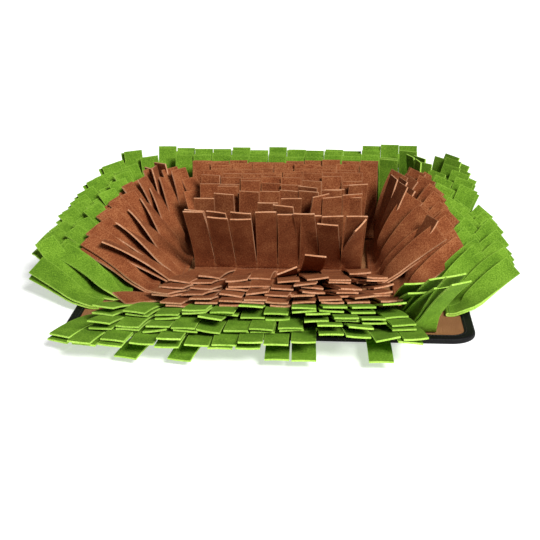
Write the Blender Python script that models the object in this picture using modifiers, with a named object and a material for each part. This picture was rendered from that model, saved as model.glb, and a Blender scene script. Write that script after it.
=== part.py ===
"""Snuffle mat: a square felt mat edged with black tape, on which slit felt bands are sewn.

The bands lie in straight rows across the middle and in square rings round them. Each band is
a strip of felt that is sewn down along one edge and slit into tabs. The tabs bloom outwards:
the back rows stand, the side rows lean out and the front rows lie forward over the edge.

Frame: metres, +Z up, +Y to the back, origin in the middle of the mat's underside.
"""

import math
import random
from collections import namedtuple

import bmesh
import bpy
from mathutils import Vector

MM = 0.001

# ---- driving dimensions ----
MAT_SIDE = 450 * MM          # finished mat, edge to edge
MAT_CORNER = 28 * MM         # outer corner radius
PANEL_THICK = 6 * MM         # felt pad under the bands
TAPE_THICK = 1.0 * MM        # edging tape
TAPE_WIDTH = 12 * MM         # how far the tape laps over the pad
TAPE_PROUD = 0.6 * MM        # tape stands above the pad by this
TAPE_ROUND = 1.6 * MM        # rounding along the taped edge
PAD_ROUND = 0.6 * MM         # rounding along the pad's own edge, inside the tape
SEAT = 0.3 * MM              # gap between pieces that lie on each other

FELT = 2.0 * MM              # thickness of the band felt
SEWN_STRIP = 6 * MM          # uncut strip along a band's sewn line
HEEL = 4 * MM                # short turn-up between the sewn strip and the tab
TAB_WIDTH = 26 * MM          # tab and slit together
SLIT = 1.2 * MM
ROW_HALF = 4 * TAB_WIDTH     # half length of the eight-tab rows in the middle
RING_PITCH = 28.3 * MM       # from one ring to the next at the sides
RING_CUT = 16 * MM           # a ring's band stops this far before the corner
LOWEST = 4 * MM              # no tab comes nearer to the floor than this
ROOT_Z = PANEL_THICK + SEAT + FELT / 2

COLLECTION = "snuffle_mat"
SEED = 11

# ---- felts and tape, linear RGB ----
Finish = namedtuple("Finish", "name colour roughness")
BROWN = Finish("felt_brown", (0.30, 0.11, 0.045), 0.92)
GREEN = Finish("felt_green", (0.14, 0.30, 0.022), 0.92)
PAD = Finish("felt_pad", (0.33, 0.15, 0.075), 0.95)
TAPE = Finish("tape_black", (0.010, 0.010, 0.011), 0.65)

# ---- the sides, and the wall that stands in the middle ----
# along: which way a band runs.  out: which way its tabs point.
# first and pitch, in millimetres: sewn line 0 from the mat's middle, and from line to line.
# shift: millimetres that a side's bands are moved along themselves, towards the back.
# rise and fan, in degrees, are read at places spread evenly from one end of the mat to the
# other: rise is the tab's lean above level, fan its turn towards the band's far end.
# tilt is how much more the tab's far edge rises than its near one, bend how much the rise drops
# from root to tip, uneven how far one tab's rise may differ from its neighbour's, and steps the
# number of faces along a tab.
Side = namedtuple("Side", "along out first pitch shift rise fan tilt bend uneven steps")
SIDES = {
    "wall": Side((1, 0), (0, -1), -3.0, 0.0, 0, (61, 64, 61, 63), (-34, 0, 20), 0, 4, 2.5, 2),
    "front": Side((1, 0), (0, -1), 7.5, 27.3, 0, (9, 11, 9, 11, 9, 11, 10), (-5, 0, 5), 0, 6, 0.3, 3),
    "back": Side((1, 0), (0, 1), -7.8, 29.4, 0, (68, 67, 71, 68, 72, 71, 73), (-5, 0, 5), 0, 4, 2.5, 2),
    "left": Side((0, 1), (-1, 0), 0.0, 28.3, 26, (8, 16, 32, 43, 53, 67, 76), (34, 36, 32), 6, 16, 1.8, 3),
    "right": Side((0, 1), (1, 0), 0.0, 28.3, 26, (8, 14, 30, 40, 52, 66, 76), (40, 42, 32), 6, 16, 1.8, 3),
}

# ---- the bands ----
# line: number of the sewn line, out from the middle.  steeper: degrees added to the side's
# rise, so that an inner band never leans into the one outside it.  length of a tab, in
# millimetres.  ring: the band ends at its ring's corners, and not at ROW_HALF.  near and far:
# millimetres that the band is longer at its two ends.  spread: how far its end tabs fan out.
Band = namedtuple("Band", "name felt side line steeper length ring near far spread")
BANDS = [
    Band("centre_wall", BROWN, "wall", 0, 0, 92, False, 0, 0, 0),
    Band("back_row_1", BROWN, "back", 1, 27, 96, False, 0, 0, 0),
    Band("back_row_2", BROWN, "back", 2, 14, 98, False, 0, 0, 0),
    Band("back_row_3", BROWN, "back", 3, 7, 99, False, 0, 0, 0),
    Band("back_ring_1", BROWN, "back", 4, 3, 100, True, 0, 0, 0),
    Band("back_ring_2", BROWN, "back", 5, 1, 100, True, 0, 0, 0),
    Band("back_ring_3", GREEN, "back", 6, 0, 102, True, 0, 0, 0),
    Band("back_ring_4", GREEN, "back", 7, -1, 104, True, 0, 0, 0),
    Band("front_row_0", BROWN, "front", 0, 0, 93, False, 0, 0, 10),
    Band("front_row_1", BROWN, "front", 1, 0, 97, False, 0, 0, 18),
    Band("front_row_2", BROWN, "front", 2, 0, 97, False, 0, 0, 24),
    Band("front_row_3", BROWN, "front", 3, 0, 97, False, 0, 0, 28),
    Band("front_ring_1", BROWN, "front", 4, 0, 97, True, 29, 29, 14),
    Band("front_ring_2", GREEN, "front", 5, 0, 97, True, 35, 31, 18),
    Band("front_ring_3", GREEN, "front", 6, 0, 97, True, 42, 14, 12),
    Band("front_ring_4", GREEN, "front", 7, 0, 97, True, 0, 0, 8),
    Band("left_ring_1", BROWN, "left", 4, 7, 99, True, 0, 0, 0),
    Band("left_ring_2", BROWN, "left", 5, 5.5, 98, True, 0, 0, 0),
    Band("left_ring_3", GREEN, "left", 6, 2.5, 99, True, 0, 0, 0),
    Band("left_ring_4", GREEN, "left", 7, 0, 99, True, 0, 0, 0),
    Band("right_ring_1", BROWN, "right", 4, 6, 99, True, 0, 0, 0),
    Band("right_ring_2", BROWN, "right", 5, 4, 99, True, 0, 0, 0),
    Band("right_ring_3", GREEN, "right", 6, 2, 99, True, 0, 0, 0),
    Band("right_ring_4", GREEN, "right", 7, 0, 99, True, 0, 0, 0),
]

# ---- tabs that go their own way ----
# rise and fan in degrees take the place of the side's own at that tab.
Stray = namedtuple("Stray", "band tab rise fan bend")
STRAYS = [
    Stray("front_ring_3", 0, 2, -24, 20),
    Stray("front_ring_4", 2, -3, -8, 26),
    Stray("front_ring_4", 4, -3, -5, 26),
    Stray("front_ring_4", 7, -2, 1, 24),
    Stray("front_ring_4", 8, -2, 2, 24),
    Stray("front_ring_4", 11, -2, 6, 24),
    Stray("front_ring_4", 13, 60, 44, 20),
    Stray("front_ring_3", 13, 58, 44, 20),
    Stray("front_ring_2", 11, 54, 50, 20),
]


# ---------------------------------------------------------------------------------------------
# scene and materials
# ---------------------------------------------------------------------------------------------

def clear_scene():
    for item in list(bpy.data.objects):
        bpy.data.objects.remove(item, do_unlink=True)


def make_collection():
    group = bpy.data.collections.new(COLLECTION)
    bpy.context.scene.collection.children.link(group)
    return group


def make_material(finish):
    material = bpy.data.materials.new(finish.name)
    material.use_nodes = True
    shader = material.node_tree.nodes["Principled BSDF"]
    shader.inputs["Base Color"].default_value = (*finish.colour, 1.0)
    shader.inputs["Roughness"].default_value = finish.roughness
    shader.inputs["Metallic"].default_value = 0.0
    material.diffuse_color = (*finish.colour, 1.0)
    return material


def add_object(name, bm, material, group):
    mesh = bpy.data.meshes.new(name)
    bm.to_mesh(mesh)
    bm.free()
    mesh.materials.append(material)
    item = bpy.data.objects.new(name, mesh)
    group.objects.link(item)
    return item


# ---------------------------------------------------------------------------------------------
# base: felt pad and edging tape
# ---------------------------------------------------------------------------------------------

def rounded_plate(half, corner, bottom, top, edge_round=0.0):
    """Square plate with round corners, and its long edges rounded where asked."""
    bm = bmesh.new()
    bmesh.ops.create_cube(bm, size=1.0)
    for vert in bm.verts:
        vert.co.x *= 2 * half
        vert.co.y *= 2 * half
        vert.co.z = top if vert.co.z > 0 else bottom
    uprights = [e for e in bm.edges if abs(e.verts[0].co.z - e.verts[1].co.z) > 1e-6]
    bmesh.ops.bevel(bm, geom=uprights, offset=corner, segments=6, profile=0.5, affect="EDGES")
    if edge_round:
        rims = [e for e in bm.edges if abs(e.verts[0].co.z - e.verts[1].co.z) < 1e-6]
        bmesh.ops.bevel(bm, geom=rims, offset=edge_round, segments=2, profile=0.5,
                        affect="EDGES", clamp_overlap=True)
    return bm


def flat_faces(bm):
    """The large top and bottom faces of a plate."""
    return [f for f in bm.faces if abs(f.normal.z) > 0.999]


def make_pad(material, group):
    """Felt pad: full thickness in the middle, pressed thinner where the tape laps over it."""
    under_tape = TAPE_THICK + SEAT
    flange = rounded_plate(MAT_SIDE / 2 - under_tape, MAT_CORNER - under_tape,
                           under_tape, PANEL_THICK + TAPE_PROUD - under_tape, PAD_ROUND)
    lap = TAPE_WIDTH + SEAT - under_tape - PAD_ROUND
    for face in flat_faces(flange):
        up = face.normal.z > 0
        bmesh.ops.inset_region(flange, faces=[face], thickness=lap, use_even_offset=True)
        raised = bmesh.ops.extrude_face_region(flange, geom=[face])
        for vert in [v for v in raised["geom"] if isinstance(v, bmesh.types.BMVert)]:
            vert.co.z = PANEL_THICK if up else 0.0
        bmesh.ops.delete(flange, geom=[face], context="FACES_ONLY")
    return add_object("pad", flange, material, group)


def make_tape(material, group):
    """Edging tape folded round the rim: an open skin of the rim, thickened inwards."""
    skin = rounded_plate(MAT_SIDE / 2, MAT_CORNER, 0.0, PANEL_THICK + TAPE_PROUD, TAPE_ROUND)
    for face in flat_faces(skin):
        bmesh.ops.inset_region(skin, faces=[face], thickness=TAPE_WIDTH - TAPE_ROUND,
                               use_even_offset=True)
        bmesh.ops.delete(skin, geom=[face], context="FACES_ONLY")
    item = add_object("edging_tape", skin, material, group)
    shell = item.modifiers.new("tape_thickness", "SOLIDIFY")
    shell.thickness = TAPE_THICK
    shell.offset = -1.0
    shell.use_even_offset = True
    return item


# ---------------------------------------------------------------------------------------------
# bands of tabs
# ---------------------------------------------------------------------------------------------

def read_profile(stations, place):
    """Value at a place along the mat, from values at stations spread evenly from end to end."""
    share = max(0.0, min(1.0, place / MAT_SIDE + 0.5)) * (len(stations) - 1)
    before = min(int(share), len(stations) - 2)
    return stations[before] + (stations[before + 1] - stations[before]) * (share - before)


def tab_line(band, place, rise, fan, bend, length):
    """Points from root to tip of a line drawn on a tab, standing at a place along the band."""
    side = SIDES[band.side]
    along = Vector((*side.along, 0.0))
    out = Vector((*side.out, 0.0))
    heading = out * math.cos(math.radians(fan)) + along * math.sin(math.radians(fan))
    sewn_line = (side.first + band.line * side.pitch) * MM
    point = out * (sewn_line + SEWN_STRIP) + along * place
    point.z = ROOT_Z
    leans = [rise + bend * (0.5 - (step + 0.5) / side.steps) for step in range(side.steps)]
    strides = [(leans[0] / 2, HEEL)] + [(lean, length / side.steps) for lean in leans]
    points = [point]
    for lean, stride in strides:
        lean = math.radians(lean)
        point = point + (heading * math.cos(lean) + Vector((0, 0, math.sin(lean)))) * stride
        point.z = max(point.z, LOWEST)
        points.append(point)
    return points


def tab_edges(band, index, centre, width, chance):
    """Left and right edge of one tab, root to tip."""
    side = SIDES[band.side]
    nudge = chance.uniform(-side.uneven, side.uneven)
    length = band.length * MM + chance.uniform(-3, 3) * MM
    stray = next((s for s in STRAYS if s.band == band.name and s.tab == index), None)
    edges = []
    near, far = band_ends(band)
    aside = (2 * centre - near - far) / (far - near)
    for half in (-0.5, 0.5):
        place = centre + half * width
        rise = read_profile(side.rise, place) + band.steeper + nudge + half * side.tilt
        fan = read_profile(side.fan, place) + band.spread * aside * abs(aside)
        bend = side.bend
        if stray:
            rise, fan, bend = stray.rise, stray.fan, stray.bend
        edges.append(tab_line(band, place, rise, fan, bend, length))
    left, right = edges
    for step in range(1, side.steps + 2):
        middle = (left[step] + right[step]) / 2
        across = (right[step] - left[step]).normalized() * (width / 2)
        left[step] = middle - across
        right[step] = middle + across
    return left, right


def band_ends(band):
    """Places of a band's near and far end along its line."""
    reach = band.line * RING_PITCH - RING_CUT if band.ring else ROW_HALF
    shift = SIDES[band.side].shift * MM
    return shift - reach - band.near * MM, shift + reach + band.far * MM


def make_band(band, material, group):
    """One felt band: a grid with the slits cut out of it, bent into place and thickened."""
    chance = random.Random(SEED + BANDS.index(band))
    near, far = band_ends(band)
    count = round((far - near) / TAB_WIDTH)
    pitch = (far - near) / count
    side = SIDES[band.side]
    sewn = Vector((*side.out, 0.0)) * SEWN_STRIP

    bm = bmesh.new()
    across = 2 * count - 1
    down = side.steps + 2
    bmesh.ops.create_grid(bm, x_segments=across, y_segments=down, size=1.0)
    spots = {}
    for vert in bm.verts:
        column = round((vert.co.x + 1) / 2 * across)
        row = round((vert.co.y + 1) / 2 * down)
        spots[vert] = (column, row)
    slits = [f for f in bm.faces
             if min(spots[v][0] for v in f.verts) % 2 == 1 and min(spots[v][1] for v in f.verts) > 0]
    bmesh.ops.delete(bm, geom=slits, context="FACES")

    tabs = [tab_edges(band, i, near + (i + 0.5) * pitch, pitch - SLIT, chance)
            for i in range(count)]
    for vert in bm.verts:
        column, row = spots[vert]
        edge = tabs[column // 2][column % 2]
        vert.co = edge[0] - sewn if row == 0 else edge[row - 1]
    bmesh.ops.recalc_face_normals(bm, faces=bm.faces)

    item = add_object(band.name, bm, material, group)
    felt = item.modifiers.new("felt_thickness", "SOLIDIFY")
    felt.thickness = FELT
    felt.offset = 0.0
    felt.use_even_offset = True
    return item


def main():
    clear_scene()
    group = make_collection()
    materials = {finish.name: make_material(finish) for finish in (BROWN, GREEN, PAD, TAPE)}
    make_pad(materials[PAD.name], group)
    make_tape(materials[TAPE.name], group)
    for band in BANDS:
        make_band(band, materials[band.felt.name], group)


main()
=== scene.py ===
"""Looks of the snuffle mat: double bands of slit felt that bloom out of a taped felt pad.

Each band is cut flat as a maker would cut it, a strip folded along its sewn line and slit into
tabs on both halves. The tables say how the tabs of each side fall, a heap of heights lifts most
front tabs off what lies under them, and the "lay tabs" tree bends the cut felt into place.
"""

import math
import random
from collections import namedtuple

import bpy
import numpy as np
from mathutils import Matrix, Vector


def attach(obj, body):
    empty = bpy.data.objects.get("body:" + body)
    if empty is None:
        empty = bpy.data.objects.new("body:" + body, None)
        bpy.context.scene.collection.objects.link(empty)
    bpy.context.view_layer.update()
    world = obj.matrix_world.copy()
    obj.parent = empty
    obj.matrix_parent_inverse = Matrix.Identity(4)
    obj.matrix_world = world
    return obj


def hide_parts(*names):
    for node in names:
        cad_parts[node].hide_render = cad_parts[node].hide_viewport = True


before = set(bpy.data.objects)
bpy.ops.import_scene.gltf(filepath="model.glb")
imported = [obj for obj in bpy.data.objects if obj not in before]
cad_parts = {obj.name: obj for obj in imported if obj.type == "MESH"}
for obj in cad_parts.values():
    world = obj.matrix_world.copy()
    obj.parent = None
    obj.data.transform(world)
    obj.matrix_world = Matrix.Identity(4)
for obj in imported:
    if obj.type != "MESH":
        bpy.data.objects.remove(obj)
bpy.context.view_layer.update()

MM = 0.001
BODY = "root"
SEED = 23

# ---- sizes, in metres ----

MAT_SIDE = 450 * MM          # finished mat, edge to edge
MAT_CORNER = 28 * MM         # outer corner radius
PANEL_THICK = 6 * MM         # felt pad under the bands
TAPE_THICK = 1.0 * MM        # edging tape
TAPE_WIDTH = 12 * MM         # how far the tape laps over the pad
TAPE_TOP = 6.6 * MM          # the tape stands a little above the pad
TAPE_ROUND = 2.0 * MM        # rounding along the taped edge

FELT = 1.9 * MM              # thickness of the band felt
LAYER_STEP = 2.3 * MM        # from the lower half of a folded band to the upper
SEAT = 0.3 * MM              # gap between pieces that lie on each other
SEWN_STRIP = 6 * MM          # width of the folded strip under the stitches
HEEL = 4 * MM                # short turn-up between the strip and the tabs
TAB_WIDTH = 26 * MM          # tab and slit together
SLIT = 0.9 * MM
ROW_HALF = 4 * TAB_WIDTH     # half length of the eight-tab rows in the middle
RING_PITCH = 28.3 * MM       # from one ring to the next at the sides
RING_CUT = 16 * MM           # a ring's band stops this far before the corner
LOWER_Z = PANEL_THICK + SEAT + FELT / 2

STITCH = 3.2 * MM            # length of a lock stitch
STITCH_GAP = 0.6 * MM
THREAD = 0.7 * MM            # thickness of the thread
THREAD_LIFT = 0.1 * MM       # thread lies this high over the felt or tape it holds
BAND_SEAM = 2.5 * MM         # stitches lie this far out from a band's line
BAND_SEAM_CUT = 1 * MM       # and stop this far before its ends
TAPE_SEAM = 2.5 * MM         # the tape's stitches lie this far from its inner edge

FOLD_RADIUS = LAYER_STEP / 2
FOLD_STEP = FOLD_RADIUS * math.pi / 4
FOLD_LEANS = 67.5, 22.5      # degrees that the two steps round half the fold lean
TAB_STEPS = 12               # quads along a tab
TAB_COLUMNS = 3              # quads across a tab
LEAD_ROWS = 5                # rows of points before the tab: fold, its two steps, strip, heel
ROWS = LEAD_ROWS + TAB_STEPS

# ---- how the tabs of each side fall ----

# along: which way a band runs.  out: which way its tabs point.
# first and pitch, in millimetres: sewn line 0 from the mat's middle, and from line to line.
# shift: millimetres that a side's bands are moved along themselves, towards the back.
# rise, fan, roll, bend and sweep, in degrees, are read at stations spread evenly from one end
# of the mat to the other: rise is the tab's lean above level, fan its turn towards the band's
# far end, roll how much its far edge is lifted, bend how much the rise drops from root to tip,
# sweep how much the fan grows from root to tip.
# loose: how freely single tabs differ, 0 for not at all and 1 for much.  parted: how far the
# upper layer stands from the lower, as a share of the room to the next band.  shorter: how far,
# in millimetres, the upper tabs end before the lower ones.  heaped: the tabs are laid on what
# is under them.
Side = namedtuple("Side", "along out first pitch shift rise fan roll bend sweep loose parted"
                          " shorter heaped")
SIDES = {
    "wall": Side((1, 0), (0, -1), -3.0, 0.0, 0, (61, 64, 61, 63), (-34, 0, 20), (0, 0), (6, 4),
                 (0, 0), 0.4, 0.45, 0, False),
    "front": Side((1, 0), (0, -1), 7.5, 27.3, 0, (7, 9, 8, 9, 13, 14, 12), (-5, 0, 5), (0, 0),
                  (18, 18), (0, 0), 0.25, 0.45, 0, True),
    "back": Side((1, 0), (0, 1), -7.8, 29.4, 0, (68, 67, 71, 68, 72, 71, 73), (-5, 0, 5), (0, 0),
                 (5, 5), (0, 0), 0.45, 0.45, 7, False),
    "left": Side((0, 1), (-1, 0), 0.0, 28.3, 26, (10, 18, 24, 36, 52, 67, 76),
                 (38, 37, 35, 38, 44, 42, 44), (30, 26, 20, 18, 18, 14, 10),
                 (10, 14, 18, 20, 18, 14, 12), (-8, -8, -10, -10), 1.1, 0.6, 3, False),
    "right": Side((0, 1), (1, 0), 0.0, 28.3, 26, (10, 17, 23, 34, 51, 66, 76),
                  (46, 48, 48, 53, 54, 36, 37), (46, 46, 46, 44, 40, 28, 20),
                  (10, 14, 18, 20, 18, 14, 12), (-8, -8, -10, -10), 1.2, 0.7, 3, False),
}

# line: number of the sewn line, out from the middle.  steeper: degrees added to the side's
# rise.  length of a tab in millimetres.  ring: the band ends at its ring's corners.
# near and far: millimetres that the band is longer at its two ends.  spread: degrees that its
# end tabs fan out.  turned and fanned: how fully its tabs take the side's roll and fan.
# free: how much more freely its tabs stand than the side's others.
Band = namedtuple("Band", "name felt side line steeper length ring near far spread turned free"
                          " fanned", defaults=[1])
BANDS = [
    Band("centre_wall", "brown", "wall", 0, 0, 94, False, 0, 0, 0, 1, 1),
    Band("back_row_1", "brown", "back", 1, 27, 96, False, 0, 0, 0, 1, 3),
    Band("back_row_2", "brown", "back", 2, 14, 98, False, 0, 0, 0, 1, 2),
    Band("back_row_3", "brown", "back", 3, 7, 99, False, 0, 0, 0, 1, 1.2),
    Band("back_ring_1", "brown", "back", 4, 3, 100, True, 0, 0, 0, 1, 1),
    Band("back_ring_2", "brown", "back", 5, 1, 100, True, 0, 0, 0, 1, 0.8),
    Band("back_ring_3", "green", "back", 6, 0, 102, True, 0, 0, 0, 1, 0.5),
    Band("back_ring_4", "green", "back", 7, -1, 104, True, 0, 0, 0, 1, 0.5),
    Band("front_row_0", "brown", "front", 0, -7, 95, False, 0, 0, 10, 1, 2),
    Band("front_row_1", "brown", "front", 1, -4, 98, False, 0, 0, 18, 1, 4),
    Band("front_row_2", "brown", "front", 2, -3, 98, False, 0, 0, 24, 1, 4),
    Band("front_row_3", "brown", "front", 3, -2, 98, False, 0, 0, 28, 1, 3),
    Band("front_ring_1", "brown", "front", 4, 0, 98, True, 29, 29, 14, 1, 2),
    Band("front_ring_2", "green", "front", 5, 0, 98, True, 35, 31, 18, 1, 1),
    Band("front_ring_3", "green", "front", 6, 0, 98, True, 42, 14, 12, 1, 1),
    Band("front_ring_4", "green", "front", 7, 0, 98, True, 0, 0, 8, 1, 1),
    Band("left_ring_1", "brown", "left", 4, 2, 99, True, 0, 0, 0, 0.2, 1.5),
    Band("left_ring_2", "brown", "left", 5, 2, 99, True, 0, 0, 0, 0.6, 1.1, 0.7),
    Band("left_ring_3", "green", "left", 6, 1, 99, True, 0, 0, 0, 1, 0.8, 0.9),
    Band("left_ring_4", "green", "left", 7, -3, 100, True, 0, 0, 0, 1, 0.8),
    Band("right_ring_1", "brown", "right", 4, 4, 99, True, 0, 0, 0, 1, 1.2, 0.5),
    Band("right_ring_2", "brown", "right", 5, 2, 99, True, 0, 0, 0, 1.1, 1, 0.75),
    Band("right_ring_3", "green", "right", 6, 1, 99, True, 0, 0, 0, 1, 0.8),
    Band("right_ring_4", "green", "right", 7, 0, 100, True, 0, 0, 0, 1, 0.8),
]

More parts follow.
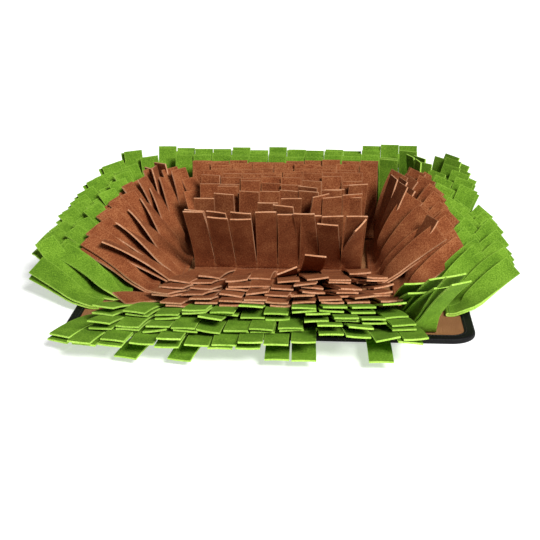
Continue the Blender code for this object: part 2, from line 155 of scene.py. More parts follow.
# Tabs that go their own way.  layer 0 is the lower half of a folded band, 1 the upper.
# rise, fan, bend and roll in degrees, length in millimetres; sweep turns the tab sideways
# between root and tip, curl turns its last quarter down.
Stray = namedtuple("Stray", "band tab layer rise fan bend sweep roll length curl", defaults=[0])
STRAYS = [
    # front: some outer tabs reach out over the edge or are lifted off the tape, a corner pair
    # droops, and three pairs stand at the right end
    Stray("front_ring_4", 2, 0, 0, -17, 24, 0, 0, 95),
    Stray("front_ring_4", 4, 0, 0, -14, 28, 0, 0, 97),
    Stray("front_ring_4", 7, 0, 2, 1, 16, 0, 0, 96),
    Stray("front_ring_4", 8, 0, 2, 2, 16, 0, 0, 97),
    Stray("front_ring_4", 9, 0, 18, 3, 18, 0, 0, 96),
    Stray("front_ring_4", 9, 1, 22, 2, 18, 0, 0, 95),
    Stray("front_ring_4", 10, 0, 17, 4, 18, 0, -4, 96),
    Stray("front_ring_4", 10, 1, 21, 6, 18, 0, -6, 95),
    Stray("front_ring_4", 11, 0, 2, 2, 16, 0, 0, 96),
    Stray("front_ring_4", 12, 0, 14, 4, 18, 0, -6, 97),
    Stray("front_ring_4", 13, 0, 49, 33, 18, 0, 0, 98),
    Stray("front_ring_4", 13, 1, 54, 31, 18, 0, 0, 96),
    Stray("front_ring_3", 0, 0, 3, -24, 20, 0, 0, 98),
    Stray("front_ring_3", 0, 1, 5, -23, 20, 0, 0, 96),
    Stray("front_ring_3", 13, 0, 41, 27, 18, 0, 0, 98),
    Stray("front_ring_3", 13, 1, 46, 25, 18, 0, 0, 96),
    Stray("front_ring_2", 11, 0, 33, 14, 16, 0, 0, 96),
    Stray("front_ring_2", 11, 1, 38, 12, 16, 0, 0, 94),
    Stray("front_ring_1", 0, 0, 11, -40, 12, 0, -16, 98),
    Stray("front_ring_1", 0, 1, 16, -38, 12, 0, -18, 96),
    # left: the foremost pair droops and the next curls up, the rear pairs fall back in steps, and
    # the innermost band lies in a close stack
    Stray("left_ring_4", 0, 0, 13, 40, 8, -6, 38, 95),
    Stray("left_ring_4", 0, 1, 17, 39, 8, -6, 38, 94),
    Stray("left_ring_4", 1, 0, 24, 42, 10, -8, 30, 97),
    Stray("left_ring_4", 1, 1, 32, 38, -16, 0, 26, 98),
    Stray("left_ring_4", 7, 0, 36, 41, 14, -8, 26, 98),
    Stray("left_ring_4", 7, 1, 40, 40, 14, -8, 26, 96),
    Stray("left_ring_4", 8, 0, 40, 41, 14, -6, 26, 98),
    Stray("left_ring_4", 8, 1, 44, 41, 14, -6, 26, 96),
    Stray("left_ring_4", 9, 0, 48, 42, 14, -6, 28, 99),
    Stray("left_ring_4", 9, 1, 52, 43, 14, -6, 28, 97),
    Stray("left_ring_4", 10, 0, 51, 45, 14, -6, 28, 95),
    Stray("left_ring_4", 10, 1, 55, 46, 14, -6, 28, 93),
    Stray("left_ring_4", 11, 0, 59, 45, 14, -6, 28, 99),
    Stray("left_ring_4", 11, 1, 63, 46, 14, -6, 28, 97),
    Stray("left_ring_4", 12, 0, 58, 47, 14, -6, 28, 95),
    Stray("left_ring_4", 12, 1, 62, 47, 14, -6, 28, 93),
    Stray("left_ring_4", 13, 0, 76, 60, 12, -4, 24, 99),
    Stray("left_ring_4", 13, 1, 81, 61, 12, -4, 20, 98),
    Stray("left_ring_3", 0, 0, 13, 14, -14, 0, 12, 98),
    Stray("left_ring_3", 9, 1, 66, 4, 30, -20, 0, 98, 70),
    Stray("left_ring_3", 10, 0, 58, 41, 14, -6, 22, 97),
    Stray("left_ring_3", 10, 1, 63, 41, 14, -6, 22, 96),
    Stray("left_ring_3", 11, 0, 76, 52, 10, -4, 20, 98),
    Stray("left_ring_3", 11, 1, 82, 52, 10, -4, 18, 97),
    Stray("left_ring_2", 8, 0, 70, 30, 8, 0, 0, 99),
    Stray("left_ring_2", 8, 1, 77, 14, 8, 0, -10, 98),
    Stray("left_ring_2", 9, 0, 71, -16, 8, 0, -16, 99),
    Stray("left_ring_2", 9, 1, 80, -27, 8, 0, -20, 99),
    Stray("left_ring_1", 0, 0, 23, 4, 14, 0, -4, 99),
    Stray("left_ring_1", 0, 1, 29, -1, 18, 0, -12, 98),
    Stray("left_ring_1", 1, 0, 25, 20, 14, 0, -20, 99),
    Stray("left_ring_1", 1, 1, 31, 24, 22, 4, -32, 97),
    Stray("left_ring_1", 2, 0, 27, 33, 16, 4, -26, 99),
    Stray("left_ring_1", 2, 1, 33, 37, 24, 8, -38, 98),
    Stray("left_ring_1", 3, 0, 31, 42, 16, 6, -28, 99),
    Stray("left_ring_1", 3, 1, 38, 45, 24, 8, -40, 97),
    Stray("left_ring_1", 4, 0, 36, 48, 16, 6, -26, 99),
    Stray("left_ring_1", 4, 1, 43, 52, 22, 8, -36, 98),
    Stray("left_ring_1", 5, 0, 48, 50, 14, 4, -20, 99),
    Stray("left_ring_1", 5, 1, 56, 53, 18, 6, -26, 97),
    # right: outer pairs by the middle lie low, the rearmost of the third ring are upright, and
    # two pairs of the first stand while one tab of it curls up
    Stray("right_ring_4", 5, 0, 24, 50, 12, -8, 42, 97),
    Stray("right_ring_4", 5, 1, 29, 48, 12, -8, 44, 95),
    Stray("right_ring_4", 6, 0, 26, 50, 12, -8, 42, 97),
    Stray("right_ring_4", 6, 1, 31, 48, 12, -8, 44, 95),
    Stray("right_ring_4", 7, 0, 28, 53, 12, -8, 40, 97),
    Stray("right_ring_4", 7, 1, 32, 51, 12, -8, 40, 95),
    Stray("right_ring_4", 8, 0, 48, 60, 12, -8, 34, 98),
    Stray("right_ring_4", 8, 1, 52, 59, 12, -8, 34, 96),
    Stray("right_ring_4", 9, 0, 55, 57, 12, -8, 30, 98),
    Stray("right_ring_4", 9, 1, 59, 55, 12, -8, 28, 96),
    Stray("right_ring_3", 6, 0, 34, 50, 14, -8, 40, 97),
    Stray("right_ring_3", 6, 1, 39, 48, 14, -8, 40, 96),
    Stray("right_ring_3", 10, 0, 84, 40, 4, 0, 10, 102),
    Stray("right_ring_3", 10, 1, 90, 0, 4, 0, 14, 103),
    Stray("right_ring_3", 11, 0, 88, 20, 4, 0, 16, 104),
    Stray("right_ring_3", 11, 1, 95, 0, 4, 0, 20, 104),
    Stray("right_ring_2", 0, 0, 13, 34, 8, 0, 24, 99),
    Stray("right_ring_2", 9, 0, 60, 18, 8, 0, 10, 99),
    Stray("right_ring_1", 1, 1, 46, 14, -34, 12, 4, 99),
    Stray("right_ring_1", 4, 0, 62, 24, 8, -6, 2, 98),
    Stray("right_ring_1", 4, 1, 69, 20, 8, -6, 6, 97),
    Stray("right_ring_1", 5, 0, 68, 22, 8, -6, 0, 99),
    Stray("right_ring_1", 5, 1, 76, 16, 8, -6, 4, 97),
    # front rows: two tabs by the wall stand half up
    Stray("front_row_0", 4, 1, 19, 2, -20, 0, 22, 92),
    Stray("front_row_0", 5, 1, 30, 8, -24, 0, -8, 92),
    # wall: its tabs lean each their own way
    Stray("centre_wall", 0, 1, 60, -10, 6, -6, 4, 96),
    Stray("centre_wall", 1, 1, 56, -6, 6, 0, -3, 94),
    Stray("centre_wall", 2, 1, 55, -4, 4, 2, 3, 94),
    Stray("centre_wall", 3, 1, 61, 1, 6, 0, 2, 96),
    Stray("centre_wall", 4, 1, 67, -8, 4, -4, -4, 97),
    Stray("centre_wall", 5, 1, 60, -8, 6, 0, 3, 96),
    Stray("centre_wall", 6, 1, 52, -4, 4, 0, -4, 93),
    Stray("centre_wall", 7, 1, 52, 4, 4, 30, 38, 92),
    # back rows: some tabs of the first rows tip forward or cross their neighbours
    Stray("back_row_1", 0, 0, 52, -30, 6, 0, 0, 96),
    Stray("back_row_1", 0, 1, 114, 0, 10, 0, 0, 95),
    Stray("back_row_1", 1, 1, 108, 6, 10, 0, 4, 95),
    Stray("back_row_1", 3, 1, 116, -1, 10, 0, 0, 92),
    Stray("back_row_1", 4, 1, 112, -6, 10, 0, 0, 94),
    Stray("back_row_1", 5, 1, 110, -28, 10, 0, -10, 96),
    Stray("back_row_2", 5, 1, 105, 12, 8, 0, 6, 95),
    Stray("back_row_2", 6, 1, 108, -8, 8, 0, 0, 95),
    Stray("back_row_3", 0, 1, 55, -48, 6, 0, 0, 96),
    Stray("back_row_3", 7, 1, 110, -16, 8, 0, 0, 96),
    # back: the right end is longer, and its inner tabs lean forward in a close stack
    Stray("back_ring_4", 11, 0, 76, 4, 4, 0, 0, 108),
    Stray("back_ring_4", 12, 0, 78, 2, 4, 0, 0, 110),
    Stray("back_ring_4", 13, 0, 76, 1, 4, 0, 0, 109),
    Stray("back_ring_4", 13, 1, 92, 12, 4, 0, 10, 102),
    Stray("back_ring_3", 11, 0, 92, 8, 4, 0, 8, 101),
    Stray("back_ring_3", 11, 1, 98, 4, 4, 0, 8, 100),
]
STRAY_TABS = {(stray.band, stray.tab, stray.layer): stray for stray in STRAYS}

# How much single tabs differ by chance.  The first four grow with the side's and band's freedom.
LOOSE_RISE = 0.3             # share of the room to the next band, either way
LOOSE_FAN = 6                # degrees either way, as the next two
LOOSE_SWEEP = 8
LOOSE_ROLL = 10
BENT = 0.6, 1.5              # least and most of its side's bend that a tab takes
TRIMMED = 3                  # millimetres that a tab is cut longer or shorter
CUPPED = -0.5, 0.7           # millimetres that its middle is pressed in or raised

LEAST_LEAN = 5               # degrees: a lower tab is given the room of one at this lean
WALL_ROOM = 6.0              # degrees that the wall's tabs may swing: its side has one band
FANNED_BY = 0.25             # share of a tab by which it has turned to its fan
SWEPT_FROM = 0.3             # share of a tab at which its sweep is nil
CURLED_FROM = 0.75           # share of a tab at which its curl begins


def read_profile(stations, place):
    """Value at a place along the mat, from values at stations spread evenly from end to end."""
    share = max(0.0, min(1.0, place / MAT_SIDE + 0.5)) * (len(stations) - 1)
    before = min(int(share), len(stations) - 2)
    return stations[before] + (stations[before + 1] - stations[before]) * (share - before)


def smooth(share):
    """Eases a share in and out, and holds it between 0 and 1."""
    share = np.clip(share, 0.0, 1.0)
    return share * share * (3 - 2 * share)


def band_ends(band):
    """Places of a band's near and far end along its line."""
    reach = band.line * RING_PITCH - RING_CUT if band.ring else ROW_HALF
    shift = SIDES[band.side].shift * MM
    return shift - reach - band.near * MM, shift + reach + band.far * MM


def band_line(band):
    """How far out from the mat's middle a band is sewn."""
    side = SIDES[band.side]
    return (side.first + band.line * side.pitch) * MM


def tab_count(band):
    near, far = band_ends(band)
    return round((far - near) / TAB_WIDTH)


class Tab:
    """One tab: where it is rooted and the angles of each of its steps."""

    SHARES = (np.arange(TAB_STEPS) + 0.5) / TAB_STEPS

    def __init__(self, band, index, layer, chance):
        side = SIDES[band.side]
        near, far = band_ends(band)
        pitch = (far - near) / tab_count(band)
        self.band, self.layer = band, layer
        self.width = pitch - SLIT
        self.place = near + (index + 0.5) * pitch
        self.along = np.array([*side.along, 0.0])
        self.out = np.array([*side.out, 0.0])
        hand = side.out[0] * side.along[1] - side.out[1] * side.along[0]

        loose = side.loose * band.free
        aside = (2 * self.place - near - far) / (far - near)
        self.rise = read_profile(side.rise, self.place) + band.steeper
        room = self.room(side)
        self.rise += (layer * side.parted + loose * chance.uniform(-LOOSE_RISE, LOOSE_RISE)) * room
        self.fan = read_profile(side.fan, self.place) * band.fanned
        self.fan += band.spread * aside * abs(aside)
        self.fan += loose * chance.uniform(-LOOSE_FAN, LOOSE_FAN)
        self.bend = read_profile(side.bend, self.place) * chance.uniform(*BENT)
        self.sweep = read_profile(side.sweep, self.place)
        self.sweep += loose * chance.uniform(-LOOSE_SWEEP, LOOSE_SWEEP)
        length = band.length - layer * side.shorter + chance.uniform(-TRIMMED, TRIMMED)
        self.length = length * MM
        roll = read_profile(side.roll, self.place) * band.turned
        self.roll = (roll + loose * chance.uniform(-LOOSE_ROLL, LOOSE_ROLL)) * hand
        self.curl = 0.0
        self.cup = chance.uniform(*CUPPED) * MM
        stray = STRAY_TABS.get((band.name, index, layer))
        self.stray = stray is not None
        if stray:
            self.rise, self.fan, self.bend, self.sweep = stray[3:7]
            self.roll, self.curl = stray.roll * hand, stray.curl
            self.length = stray.length * MM

    def room(self, side):
        """Degrees that a tab may swing before it meets the band behind it."""
        if not side.pitch:
            return WALL_ROOM
        gap = side.pitch * MM * math.sin(math.radians(max(self.rise, LEAST_LEAN))) - LAYER_STEP
        return math.degrees(max(gap, 0.0) / (self.band.length * MM))

    def start(self):
        """Middle of the fold, behind the stitches."""
        point = self.out * (band_line(self.band) - FOLD_RADIUS) + self.along * self.place
        return point + np.array([0, 0, LOWER_Z + FOLD_RADIUS])

    def rows(self, lift=0.0, tilt=0.0):
        """Stride, lean, heading and roll of each row of points, from the fold to the tip."""
        turn = 1 if self.layer else -1
        curl = self.curl * smooth((self.SHARES - CURLED_FROM) / (1 - CURLED_FROM))
        leans = self.rise + lift + self.bend * (0.5 - self.SHARES) - curl
        fan = self.fan * smooth(self.SHARES / FANNED_BY)
        table = np.zeros((ROWS, 4))
        table[1:LEAD_ROWS, 0] = FOLD_STEP, FOLD_STEP, SEWN_STRIP, HEEL
        table[1:LEAD_ROWS, 1] = FOLD_LEANS[0] * turn, FOLD_LEANS[1] * turn, 0.0, leans[0] / 2
        table[LEAD_ROWS:, 0] = self.length / TAB_STEPS
        table[LEAD_ROWS:, 1] = leans
        table[LEAD_ROWS:, 2] = fan + self.sweep * (self.SHARES - SWEPT_FROM)
        table[LEAD_ROWS:, 3] = (self.roll + tilt) * smooth(self.SHARES + 0.5 / TAB_STEPS)
        return table

    def trace(self, rows):
        """Points down the middle of the tab, the way across it and the way on, at each row."""
        lean, heading, roll = np.radians(rows[:, 1:]).T[:, :, None]
        level = self.out * np.cos(heading) + self.along * np.sin(heading)
        up = np.array([0, 0, 1.0])
        way = level * np.cos(lean) + up * np.sin(lean)
        across = self.along * np.cos(heading) - self.out * np.sin(heading)
        across = across * np.cos(roll) + np.cross(way, across) * np.sin(roll)
        return self.start() + np.cumsum(way * rows[:, :1], axis=0), across, way


# ---- the heap: front tabs are lifted off what lies under them ----

class Heap:
    """Height of what already lies there, cell by cell."""

    CELL = 1.5 * MM
    HALF = 420 * MM          # from the mat's middle to the end of the cells
    AIR = 0.1 * MM           # least air under a tab
    MORE_AIR = 0.3           # millimetres that chance may add to it
    HIGHEST = 12.0           # degrees that a tab may be raised to clear what is under it
    STEP = 0.75              # degrees from one try to the next
    ROLLS = (0, -4, 4, -8, 8)
    EDGE = 2.5 * MM          # a tab's edges may touch what is under them
    FLATNESS = 0.3           # least level share of a stride, where half the felt is measured
    TRIED = np.linspace(-1, 1, 5)           # places across half a tab that have to be clear
    FILLED = np.linspace(-0.5, 0.5, 19)     # places across a laid tab, closer than the cells
    FILLED_ON = np.linspace(0.1, 1, 6)      # and along each stride of it

    def __init__(self):
        cells = int(2 * self.HALF / self.CELL)
        self.top = np.full((cells, cells), 0.0)
        low, high = self.cell(np.array([-MAT_SIDE / 2, MAT_SIDE / 2]))
        self.top[low:high, low:high] = TAPE_TOP

    def cell(self, values):
        return ((values + self.HALF) / self.CELL).astype(int)

    def spread(self, tab, rows, offsets, parts):
        """Points all over a tab, past its first stride, which lies on its own strip."""
        points, across, way = (values[LEAD_ROWS:] for values in tab.trace(rows))
        middle = points[:-1, None] + (points[1:] - points[:-1])[:, None] * parts[:, None]
        spots = middle[:, :, None] + across[1:, None, None] * offsets[:, None]
        flat = np.hypot(way[1:, 0], way[1:, 1]).clip(self.FLATNESS)
        half_thick = np.broadcast_to((FELT / 2 / flat)[:, None, None], spots.shape[:3])
        return spots.reshape(-1, 3), half_thick.ravel()

    def clear(self, tab, rows, air):
        offsets = self.TRIED * (tab.width / 2 - self.EDGE)
        spots, half_thick = self.spread(tab, rows, offsets, np.array([1.0]))
        cells = self.cell(spots[:, :2])
        return np.all(spots[:, 2] - half_thick - air > self.top[cells[:, 0], cells[:, 1]])

    def settle(self, tab, chance):
        """Raises a tab just enough, rolled whichever way lets it lie lowest, or else half way."""
        air = self.AIR + chance.uniform(0.0, self.MORE_AIR) * MM
        lift = 0.0
        while lift <= self.HIGHEST:
            for tilt in self.ROLLS:
                if self.clear(tab, tab.rows(lift, tilt), air):
                    tab.rise += lift
                    tab.roll += tilt
                    return
            lift += self.STEP
        tab.rise += self.HIGHEST / 2

    def add(self, tab):
        """The laid tab becomes part of the heap."""
        spots, half_thick = self.spread(tab, tab.rows(), self.FILLED * tab.width, self.FILLED_ON)
        cells = self.cell(spots[:, :2])
        np.maximum.at(self.top, (cells[:, 0], cells[:, 1]), spots[:, 2] + half_thick)


def plan_tabs():
    """Every tab of the mat by band and layer.  Heaped ones are laid from the outermost in."""
    chance = random.Random(SEED)
    tabs = {(band.name, layer): [Tab(band, i, layer, chance) for i in range(tab_count(band))]
            for band in BANDS for layer in (0, 1)}
    heap = Heap()
    heaped = [band for band in BANDS if SIDES[band.side].heaped]
    for band in sorted(heaped, key=lambda b: -b.line):
        for layer in (0, 1):
            for tab in tabs[band.name, layer]:
                if not tab.stray:
                    heap.settle(tab, chance)
                heap.add(tab)
    return tabs


# ---- node helpers ----

def set_inputs(node, values):
    for key, value in values.items():
        node.inputs[key].default_value = value


def add_node(tree, kind, links=(), inputs=(), **settings):
    """A node with its settings, its input values, and the links that feed it.

    A link comes from a socket, or from a node's first one."""
    node = tree.nodes.new(kind)
    for key, value in settings.items():
        setattr(node, key, value)
    set_inputs(node, dict(inputs))
    for key, source in dict(links).items():
        socket = source.outputs[0] if isinstance(source, bpy.types.Node) else source
        tree.links.new(socket, node.inputs[key])
    return node


def new_tree(name, **inputs):
    """A Geometry Nodes tree with the named inputs, each given by its kind of socket."""
    tree = bpy.data.node_groups.new(name, "GeometryNodeTree")
    tree.interface.new_socket("Geometry", in_out="INPUT", socket_type="NodeSocketGeometry")
    for label, kind in inputs.items():
        tree.interface.new_socket(label, in_out="INPUT", socket_type="NodeSocket" + kind)
    tree.interface.new_socket("Geometry", in_out="OUTPUT", socket_type="NodeSocketGeometry")
    return tree, add_node(tree, "NodeGroupInput").outputs


def end_tree(tree, geometry, material):
    """Every tree ends in real geometry with its material on."""
    plain = add_node(tree, "GeometryNodeRealizeInstances", {"Geometry": geometry})
    clothed = add_node(tree, "GeometryNodeSetMaterial", {"Geometry": plain, "Material": material})
    add_node(tree, "NodeGroupOutput", {"Geometry": clothed})
    return tree


def run_tree(item, tree, **values):
    """Adds a tree to a piece and sets its inputs by their sockets' identifiers."""
    modifier = item.modifiers.new(tree.name, "NODES")
    modifier.node_group = tree
    for socket in tree.interface.items_tree:
        if socket.in_out == "INPUT" and socket.name in values:
            modifier[socket.identifier] = values[socket.name]


# ---- materials ----

CLOUD = 22 * MM              # soft patches of lighter and darker felt
FLECK = 1.3 * MM             # clumps of fibres of one shade
PAD_FLECK = 1.0 * MM         # the pad is finer, and speckled without patches
HAIR = 0.8 * MM              # real fibres are far finer: these are as coarse as shows
HAIR_HEIGHT = 0.4 * MM
CLOUDINESS = 0.35            # weight of the patches beside the flecks
PAD_CLOUDINESS = 0.1
SHADE_REACH = 0.2            # how far from the middle of the noise the end shades lie
# Painted highlight: the felt's face is painted paler close to each cut edge, where light catches
# it.
RIM_FROM = 0.2 * MM          # the painted edge highlight is palest this near a cut edge
RIM_TO = 1.4 * MM            # and ends this far in
RIM_HIGHLIGHT = 0.35
RIB = 1.6 * MM               # from one rib of the tape to the next, as coarse as shows
RIB_HEIGHT = 0.2 * MM
WEAR = 6 * MM                # worn patches on the tape
TWIST = 0.6 * MM             # from one turn of the thread's twist to the next


def linear(code):
    """Linear RGBA of an sRGB hex colour."""
    parts = [int(code[i:i + 2], 16) / 255 for i in (0, 2, 4)]
    return (*[p / 12.92 if p <= 0.04045 else ((p + 0.055) / 1.055) ** 2.4 for p in parts], 1.0)


def new_material(name):
    material = bpy.data.materials.new(name)
    material.use_nodes = True
    return material, material.node_tree, material.node_tree.nodes["Principled BSDF"]


def set_shades(ramp, dark, light, mid=None):
    """Hex colours at the two ends of a ramp, and half way."""
    stops = ramp.color_ramp.elements
    stops[0].color = linear(dark)
    stops[1].color = linear(light)
    if mid:
        stops.new(0.5).color = linear(mid)


def needled_felt(name, dark, mid, light, fleck=FLECK, clouds=CLOUDINESS, rim=None):
    """Polyester needle felt: matted fibres in three shades, a dull face with a soft bloom."""
    material, tree, shader = new_material(name)
    place = add_node(tree, "ShaderNodeTexCoord").outputs["Object"]
    cloud = add_node(tree, "ShaderNodeTexNoise", {"Vector": place},
                     {"Scale": 1 / CLOUD, "Detail": 1.0})
    flecks = add_node(tree, "ShaderNodeTexNoise", {"Vector": place},
                      {"Scale": 1 / fleck, "Detail": 2.0, "Roughness": 0.7})
    mottle = add_node(tree, "ShaderNodeMath", {0: cloud, 2: flecks}, {1: clouds},
                      operation="MULTIPLY_ADD")
    middle = 0.5 * clouds + 0.5
    shade = add_node(tree, "ShaderNodeMapRange", {"Value": mottle},
                     {"From Min": middle - SHADE_REACH, "From Max": middle + SHADE_REACH})
    ramp = add_node(tree, "ShaderNodeValToRGB", {"Fac": shade})
    set_shades(ramp, dark, light, mid)
    # rim: colour of the painted highlight along the cut edges
    colour = painted_edge_highlight(tree, ramp.outputs["Color"], rim) if rim else ramp.outputs["Color"]
    tree.links.new(colour, shader.inputs["Base Color"])
    hairs = add_node(tree, "ShaderNodeTexNoise", {"Vector": place},
                     {"Scale": 1 / HAIR, "Detail": 2.0, "Roughness": 0.7})
    bump = add_node(tree, "ShaderNodeBump", {"Height": hairs},
                    {"Strength": 0.5, "Distance": HAIR_HEIGHT})
    tree.links.new(bump.outputs["Normal"], shader.inputs["Normal"])
    set_inputs(shader, {"Roughness": 0.95, "Specular IOR Level": 0.15, "Sheen Weight": 0.12,
                        "Sheen Roughness": 0.5, "Sheen Tint": linear(light)})
    return material


def painted_edge_highlight(tree, felt, rim):
    """Painted highlight: the felt is painted paler close to each cut edge, where light catches it.
    """
    side = add_node(tree, "ShaderNodeAttribute", attribute_name="to_side").outputs["Fac"]
    tip = add_node(tree, "ShaderNodeAttribute", attribute_name="to_tip").outputs["Fac"]
    nearest = add_node(tree, "ShaderNodeMath", {0: side, 1: tip}, operation="MINIMUM")
    share = add_node(tree, "ShaderNodeMapRange", {"Value": nearest},
                     {"From Min": RIM_FROM, "From Max": RIM_TO, "To Min": RIM_HIGHLIGHT,
                      "To Max": 0.0})
    mixed = add_node(tree, "ShaderNodeMix", {0: share, 6: felt}, {7: linear(rim)},
                     data_type="RGBA")
    return mixed.outputs[2]


def woven_tape(name):
    """Black polyester binding tape: close cross ribs, with a slight shine on the fold."""
    material, tree, shader = new_material(name)
    along = add_node(tree, "ShaderNodeAttribute", attribute_name="rib").outputs["Fac"]
    rib = add_node(tree, "ShaderNodeMath", {0: along}, {1: math.tau / RIB}, operation="MULTIPLY")
    wave = add_node(tree, "ShaderNodeMath", {0: rib}, operation="SINE")
    bump = add_node(tree, "ShaderNodeBump", {"Height": wave},
                    {"Strength": 0.4, "Distance": RIB_HEIGHT})
    tree.links.new(bump.outputs["Normal"], shader.inputs["Normal"])
    place = add_node(tree, "ShaderNodeTexCoord").outputs["Object"]
    worn = add_node(tree, "ShaderNodeTexNoise", {"Vector": place},
                    {"Scale": 1 / WEAR, "Detail": 3.0})
    ramp = add_node(tree, "ShaderNodeValToRGB", {"Fac": worn})
    set_shades(ramp, "030303", "0C0C0D")
    tree.links.new(ramp.outputs["Color"], shader.inputs["Base Color"])
    set_inputs(shader, {"Roughness": 0.6, "Specular IOR Level": 0.2})
    return material


def spun_thread(name, dark, light):
    """Polyester sewing thread: a tight twist with a low sheen, mottled along its length."""
    material, tree, shader = new_material(name)
    place = add_node(tree, "ShaderNodeTexCoord").outputs["Object"]
    twist = add_node(tree, "ShaderNodeTexNoise", {"Vector": place},
                     {"Scale": 1 / TWIST, "Detail": 1.0})
    ramp = add_node(tree, "ShaderNodeValToRGB", {"Fac": twist})
    set_shades(ramp, dark, light)
    tree.links.new(ramp.outputs["Color"], shader.inputs["Base Color"])
    set_inputs(shader, {"Roughness": 0.45})
    return material


# ---- shared making ----

def show(name, points, edges, faces):
    """A new piece at the origin, from its points and what joins them."""
    mesh = bpy.data.meshes.new(name)
    mesh.from_pydata(points, edges, faces)
    item = bpy.data.objects.new(name, mesh)
    bpy.context.scene.collection.objects.link(item)
    return item


def bake(item, *materials):
    """The evaluated shape as a plain mesh, with no modifier left."""
    graph = bpy.context.evaluated_depsgraph_get()
    item.data = bpy.data.meshes.new_from_object(item.evaluated_get(graph))
    item.modifiers.clear()
    if materials:
        item.data.materials.clear()
        for material in materials:
            item.data.materials.append(material)


def thicken(item, thickness, **settings):
    """Gives a laid sheet its thickness, half of it to each face."""
    thick = item.modifiers.new("thickness", "SOLIDIFY")
    thick.thickness = thickness
    thick.offset = 0.0
    for key, value in settings.items():
        setattr(thick, key, value)
    bake(item)


def round_off(item, crease):
    """Shades a piece as round, but for edges sharper than a crease, in degrees."""
    item.data.shade_smooth()
    item.data.set_sharp_from_angle(angle=math.radians(crease))


# ---- bands ----

JOIN = 0.02 * MM             # points of the cut felt that are this close are one
FELT_CREASE = 50
NOTES = ("stride", "lean", "heading", "roll", "across", "cup", "to_side", "to_tip")


def cut_band(band, layers):
    """The band as it is cut, with the angles that lay it written on its points."""
    starts, notes, paths, faces = [], [], [], []
    for layer, tabs in enumerate(layers):
        for number, tab in enumerate(tabs):
            table = tab.rows()
            table[:, 1:] = np.radians(table[:, 1:])
            to_tip = table[::-1, 0].cumsum()[::-1] - table[:, 0]
            for column in range(TAB_COLUMNS + 1):
                path = (layer * len(tabs) + number) * (TAB_COLUMNS + 1) + column
                share = column / TAB_COLUMNS - 0.5
                across = [share * tab.width, tab.cup * (1 - 4 * share * share),
                          tab.width * (0.5 - abs(share))]
                starts.append(np.tile(tab.start(), (ROWS, 1)))
                notes.append(np.column_stack([table, np.tile(across, (ROWS, 1)), to_tip]))
                paths.append(np.full(ROWS, path))
                last = column == TAB_COLUMNS
                if last and number == len(tabs) - 1:
                    continue
                for row in range(LEAD_ROWS if last else ROWS - 1):
                    here = path * ROWS + row
                    quad = (here, here + ROWS, here + ROWS + 1, here + 1)
                    faces.append(quad if layer else quad[::-1])
    item = show(band.name + "_felt", np.vstack(starts).tolist(), [], faces)
    for name, values in zip(NOTES, np.vstack(notes).T):
        item.data.attributes.new(name, "FLOAT", "POINT").data.foreach_set("value", values)
    numbers = item.data.attributes.new("path", "INT", "POINT")
    numbers.data.foreach_set("value", np.hstack(paths))
    return item


def lay_tabs_tree():
    """Geometry Nodes: walks each column of cut felt from its fold, a stride at each row."""
    tree, given = new_tree("lay tabs", Along="Vector", Out="Vector", Join="Float",
                           Felt="Material")
    stride, lean, heading, roll, across, cup, path = (
        add_node(tree, "GeometryNodeInputNamedAttribute", (), {"Name": name},
                 data_type="INT" if name == "path" else "FLOAT").outputs["Attribute"]
        for name in (*NOTES[:6], "path"))

    # the way on, level, then raised by its lean, and the way across, tilted by its roll
    mast = add_node(tree, "ShaderNodeVectorMath", {0: given["Out"], 1: given["Along"]},
                    operation="CROSS_PRODUCT")
    level, square = (add_node(tree, "ShaderNodeVectorRotate",
                              {"Vector": given[name], "Axis": mast, "Angle": heading})
                     for name in ("Out", "Along"))
    hinge = add_node(tree, "ShaderNodeVectorMath", {0: level}, {1: (0.0, 0.0, 1.0)},
                     operation="CROSS_PRODUCT")
    way = add_node(tree, "ShaderNodeVectorRotate",
                   {"Vector": level, "Axis": hinge, "Angle": lean})
    crosswise = add_node(tree, "ShaderNodeVectorRotate",
                         {"Vector": square, "Axis": way, "Angle": roll})
    face_up = add_node(tree, "ShaderNodeVectorMath", {0: crosswise, 1: way},
                       operation="CROSS_PRODUCT")

    step, aside, raised = (add_node(tree, "ShaderNodeVectorMath", {0: along, "Scale": size},
                                    operation="SCALE")
                           for along, size in ((way, stride), (crosswise, across), (face_up, cup)))
    walked = add_node(tree, "GeometryNodeAccumulateField", {"Value": step, "Group ID": path},
                      data_type="FLOAT_VECTOR")
    shift = add_node(tree, "ShaderNodeVectorMath", {0: aside, 1: raised}, operation="ADD")
    both = add_node(tree, "ShaderNodeVectorMath", {0: walked.outputs["Leading"], 1: shift},
                    operation="ADD")
    moved = add_node(tree, "GeometryNodeSetPosition",
                     {"Geometry": given["Geometry"], "Offset": both})
    closed = add_node(tree, "GeometryNodeMergeByDistance",
                      {"Geometry": moved, "Distance": given["Join"]})
    return end_tree(tree, closed, given["Felt"])


def make_band(band, layers, tree, face_felt, edge_highlight_felt):
    """One folded band: cut, laid, given its thickness, and a paler copy of its felt on the cut
    edges as a painted highlight.
    """
    item = cut_band(band, layers)
    side = SIDES[band.side]
    run_tree(item, tree, Along=(*side.along, 0.0), Out=(*side.out, 0.0), Join=JOIN,
             Felt=face_felt)
    bake(item, face_felt, edge_highlight_felt)
    thicken(item, FELT, use_even_offset=True, use_quality_normals=True, material_offset_rim=1)
    round_off(item, FELT_CREASE)
    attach(item, BODY)
    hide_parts(band.name)


# ---- pad, tape and sewing ----

SIDE_POINTS = 36             # points along each straight side of the pad's loops
CORNER_POINTS = 8            # and round each corner
LEAST_CORNER = 2 * MM        # radius of the innermost loops' corners
PAD_LOOPS = 25
LOOP_STEP = 8 * MM
PAD_FROM = TAPE_WIDTH + 0.4 * MM        # the pad has its full thickness from here in
PAD_SLOPE = 0.3 * MM                    # and slopes down to its part under the tape
PAD_CREASE = 40
TROUGH_DEPTH = 0.6 * MM      # how deep stitches pull the pad in
TROUGH_WIDTH = 3 * MM

ROUND_STEPS = 6              # in each rounding of the tape's section
CORNER_STEPS = 12            # in the tape's way round each corner
TAPE_STEP = 4 * MM           # along the tape
TAPE_CREASE = 45


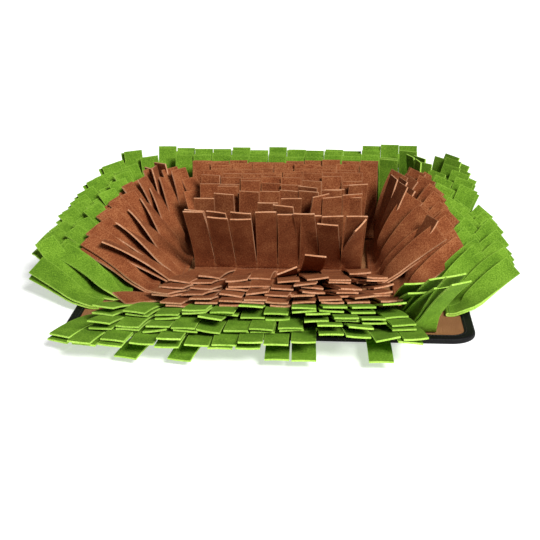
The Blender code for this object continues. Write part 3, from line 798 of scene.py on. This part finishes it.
def square_loop(inset):
    """Points round a square with rounded corners, counter-clockwise, this far in from the edge."""
    radius = max(MAT_CORNER - inset, LEAST_CORNER)
    centre = MAT_SIDE / 2 - inset - radius
    arcs = []
    for corner, (x, y) in enumerate(((1, 1), (-1, 1), (-1, -1), (1, -1))):
        turns = [(corner + step / CORNER_POINTS) * math.pi / 2
                 for step in range(CORNER_POINTS + 1)]
        arcs.append([(x * centre + radius * math.cos(turn), y * centre + radius * math.sin(turn))
                     for turn in turns])
    points = []
    for arc, next_arc in zip(arcs, arcs[1:] + arcs[:1]):
        points += arc[:-1]
        (x, y), (end_x, end_y) = arc[-1], next_arc[0]
        for step in range(SIDE_POINTS):
            share = step / SIDE_POINTS
            points.append((x + (end_x - x) * share, y + (end_y - y) * share))
    return points


def sewn_lines():
    """The two ends of each band's line of stitches, with its felt."""
    lines = []
    for band in BANDS:
        side = SIDES[band.side]
        across = np.array([*side.out, 0.0]) * (band_line(band) + BAND_SEAM)
        along = np.array([*side.along, 0.0])
        near, far = band_ends(band)
        ends = (across + along * (near + BAND_SEAM_CUT), across + along * (far - BAND_SEAM_CUT))
        lines.append((band.felt, *ends))
    return lines


def trough(x, y, lines):
    """How deep the stitches pull the pad in at a place."""
    depth = 0.0
    for start, end in lines:
        if abs(start[0] - end[0]) > abs(start[1] - end[1]):
            away, within = y - start[1], start[0] < x < end[0]
        else:
            away, within = x - start[0], start[1] < y < end[1]
        if within:
            depth = max(depth, TROUGH_DEPTH * math.exp(-(away / TROUGH_WIDTH) ** 2))
    return depth


def make_pad(felt):
    """Needled pad: flat, with a shallow trough along each sewn line, thinner under the tape."""
    under = TAPE_THICK + SEAT
    over = TAPE_TOP - under
    slope = PAD_FROM - PAD_SLOPE
    top = [(PAD_FROM + i * LOOP_STEP, PANEL_THICK) for i in range(PAD_LOOPS)]
    loops = [(inset, 0.0) for inset, _ in reversed(top)]
    loops += [(slope, under), (under, under), (under, over), (slope, over)] + top
    lines = [(start, end) for _, start, end in sewn_lines()]
    points = []
    for inset, height in loops:
        for x, y in square_loop(inset):
            depth = trough(x, y, lines) if height == PANEL_THICK else 0.0
            points.append((x, y, height - depth))
    count = 4 * (CORNER_POINTS + SIDE_POINTS)
    faces = [(low + i, low + (i + 1) % count, low + count + (i + 1) % count, low + count + i)
             for low in range(0, len(points) - count, count) for i in range(count)]
    faces.append(list(range(count))[::-1])
    faces.append(list(range(len(points) - count, len(points))))
    item = show("pad_felt_panel", points, [], faces)
    item.data.materials.append(felt)
    round_off(item, PAD_CREASE)
    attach(item, BODY)
    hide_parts("pad")


def edging_tree():
    """Geometry Nodes: the folded tape's section carried round the mat's edge."""
    tree, given = new_tree("bind edge", Side="Float", Corner="Float", Step="Float",
                           Tape="Material")
    path = add_node(tree, "GeometryNodeCurvePrimitiveQuadrilateral",
                    {"Width": given["Side"], "Height": given["Side"]})
    rounded = add_node(tree, "GeometryNodeFilletCurve", {"Curve": path, "Radius": given["Corner"]},
                       {"Count": CORNER_STEPS}, mode="POLY")
    even = add_node(tree, "GeometryNodeResampleCurve", {"Curve": rounded, "Length": given["Step"]},
                    mode="LENGTH")
    walked = add_node(tree, "GeometryNodeSplineParameter").outputs["Length"]
    marked = add_node(tree, "GeometryNodeStoreNamedAttribute",
                      {"Geometry": even, "Value": walked}, {"Name": "rib"},
                      data_type="FLOAT", domain="POINT")
    section = add_node(tree, "GeometryNodeMeshToCurve", {"Mesh": given["Geometry"]})
    swept = add_node(tree, "GeometryNodeCurveToMesh", {"Curve": marked, "Profile Curve": section})
    return end_tree(tree, swept, given["Tape"])


def make_tape(tape):
    """Edging tape, folded over the pad's edge: its middle line is swept, then given thickness."""
    low = TAPE_THICK / 2
    turns = [math.pi / 2 * step / ROUND_STEPS for step in range(ROUND_STEPS + 1)]
    under = [(low + TAPE_ROUND * (1 - math.sin(turn)), low + TAPE_ROUND * (1 - math.cos(turn)))
             for turn in turns]
    under.insert(0, (TAPE_WIDTH, low))
    over = [(inset, TAPE_TOP - height) for inset, height in reversed(under)]
    points = [(-inset, -height, 0.0) for inset, height in under + over]
    edges = [(i, i + 1) for i in range(len(points) - 1)]
    item = show("edging_tape_binding", points, edges, [])
    run_tree(item, edging_tree(), Side=MAT_SIDE, Corner=MAT_CORNER, Step=TAPE_STEP, Tape=tape)
    bake(item, tape)
    thicken(item, TAPE_THICK)
    round_off(item, TAPE_CREASE)
    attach(item, BODY)
    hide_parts("edging_tape")


def sewing_tree():
    """Geometry Nodes: short lock stitches set end to end along sewn lines."""
    tree, given = new_tree("sew", Stitch="Float", Gap="Float", Thread="Float", Yarn="Material")
    pitch = add_node(tree, "ShaderNodeMath", {0: given["Stitch"], 1: given["Gap"]},
                     operation="ADD")
    lines = add_node(tree, "GeometryNodeMeshToCurve", {"Mesh": given["Geometry"]})
    places = add_node(tree, "GeometryNodeResampleCurve", {"Curve": lines, "Length": pitch},
                      mode="LENGTH")
    tangent = add_node(tree, "GeometryNodeInputTangent")
    aim = add_node(tree, "FunctionNodeAlignRotationToVector", {"Vector": tangent}, axis="X")
    ball = add_node(tree, "GeometryNodeMeshIcoSphere", (), {"Radius": 0.5, "Subdivisions": 2})
    size = add_node(tree, "ShaderNodeCombineXYZ",
                    {"X": given["Stitch"], "Y": given["Thread"], "Z": given["Thread"]})
    stitch = add_node(tree, "GeometryNodeInstanceOnPoints",
                      {"Points": places, "Instance": ball, "Rotation": aim, "Scale": size})
    return end_tree(tree, stitch, given["Yarn"])


def make_sewing(name, runs, tree, yarn):
    """One colour of thread: every line that is sewn with it."""
    points, edges = [], []
    for run in runs:
        first = len(points)
        points += [tuple(point) for point in run]
        edges += [(first + i, first + i + 1) for i in range(len(run) - 1)]
    item = show(name, points, edges, [])
    run_tree(item, tree, Stitch=STITCH, Gap=STITCH_GAP, Thread=THREAD, Yarn=yarn)
    bake(item, yarn)
    item.data.shade_smooth()
    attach(item, BODY)


def make_all_sewing():
    tree = sewing_tree()
    yarns = {"brown": spun_thread("brown_polyester_thread", "6A3820", "A06A48"),
             "green": spun_thread("green_polyester_thread", "4E7A18", "86B83C")}
    up = np.array([0, 0, LOWER_Z + LAYER_STEP + FELT / 2 + THREAD_LIFT])
    for felt, yarn in yarns.items():
        runs = [(start + up, end + up) for kind, start, end in sewn_lines() if kind == felt]
        make_sewing(felt + "_band_sewing", runs, tree, yarn)
    loop = [(x, y, TAPE_TOP + THREAD_LIFT) for x, y in square_loop(TAPE_WIDTH - TAPE_SEAM)]
    black = spun_thread("black_polyester_thread", "101010", "2A2A2C")
    make_sewing("edging_sewing", [loop + loop[:1]], tree, black)


# ---- stage, light, camera ----

FLOOR_HALF = 8.0             # half a side of the floor
FLOOR_GLOW = 0.5             # keeps the paper white where it is far from the mat
SKY_STRENGTH = 0.17
SUN_STRENGTH = 4.1
SUN_WIDTH = 20               # degrees, for the soft edges of the shadows
SUN_WAY = (-0.6, 0.85, -0.8)            # from the front, the right and above

CAMERA_LENS = 79.8           # millimetres, as the sensor's width
CAMERA_SENSOR = 36.0
CAMERA_AZIMUTH = 3.406       # degrees to the right of straight in front
CAMERA_ELEVATION = 18.33     # degrees above level
CAMERA_DISTANCE = 1.5023
CAMERA_AIM = (-0.0105, 0.0011, 0.0053)


def make_stage():
    corners = [(x * FLOOR_HALF, y * FLOOR_HALF, 0.0)
               for x, y in ((-1, -1), (1, -1), (1, 1), (-1, 1))]
    floor = show("floor", corners, [], [(0, 1, 2, 3)])
    paper, _, shader = new_material("white_paper")
    set_inputs(shader, {"Base Color": (0.9, 0.9, 0.9, 1.0), "Roughness": 0.9,
                        "Specular IOR Level": 0.1, "Emission Color": (1.0, 1.0, 1.0, 1.0),
                        "Emission Strength": FLOOR_GLOW})
    floor.data.materials.append(paper)


def make_light():
    world = bpy.data.worlds.new("studio")
    world.use_nodes = True
    set_inputs(world.node_tree.nodes["Background"],
               {"Color": (1.0, 1.0, 1.0, 1.0), "Strength": SKY_STRENGTH})
    bpy.context.scene.world = world
    lamp = bpy.data.lights.new("softbox", "SUN")
    lamp.energy = SUN_STRENGTH
    lamp.angle = math.radians(SUN_WIDTH)
    item = bpy.data.objects.new("softbox", lamp)
    item.rotation_euler = Vector(SUN_WAY).to_track_quat("-Z", "Y").to_euler()
    bpy.context.scene.collection.objects.link(item)
    bpy.context.scene.view_settings.view_transform = "Standard"


def make_camera():
    lens = bpy.data.cameras.new("camera")
    lens.sensor_width = CAMERA_SENSOR
    lens.lens = CAMERA_LENS
    item = bpy.data.objects.new("camera", lens)
    azimuth, elevation = math.radians(CAMERA_AZIMUTH), math.radians(CAMERA_ELEVATION)
    back = Vector((math.sin(azimuth) * math.cos(elevation),
                   -math.cos(azimuth) * math.cos(elevation), math.sin(elevation)))
    item.location = Vector(CAMERA_AIM) + back * CAMERA_DISTANCE
    item.rotation_euler = (-back).to_track_quat("-Z", "Y").to_euler()
    bpy.context.scene.collection.objects.link(item)
    bpy.context.scene.camera = item


def main():
    # rim: colour of the painted highlight close to each cut edge of the band felts
    felts = {
        "brown": needled_felt("brown_needled_felt", "643018", "854828", "A86C44", rim="B07850"),
        "green": needled_felt("green_needled_felt", "466A16", "60871F", "7FA733", rim="96BE46"),
    }
    # Paler copies of the felts for the cut edges: a painted highlight where light catches them.
    cut_edge_highlights = {
        "brown": needled_felt("brown_felt_cut_edge_highlight", "B07450", "C68E68", "DCAA88"),
        "green": needled_felt("green_felt_cut_edge_highlight", "8CB840", "A6D050", "C2E470"),
    }
    tabs = plan_tabs()
    tree = lay_tabs_tree()
    for band in BANDS:
        layers = [tabs[band.name, 0], tabs[band.name, 1]]
        make_band(band, layers, tree, felts[band.felt], cut_edge_highlights[band.felt])
    make_pad(needled_felt("tan_needled_pad", "4A2C18", "8C5C38", "C89868", PAD_FLECK,
                          PAD_CLOUDINESS))
    make_tape(woven_tape("black_woven_tape"))
    make_all_sewing()
    make_stage()
    make_light()
    make_camera()


main()
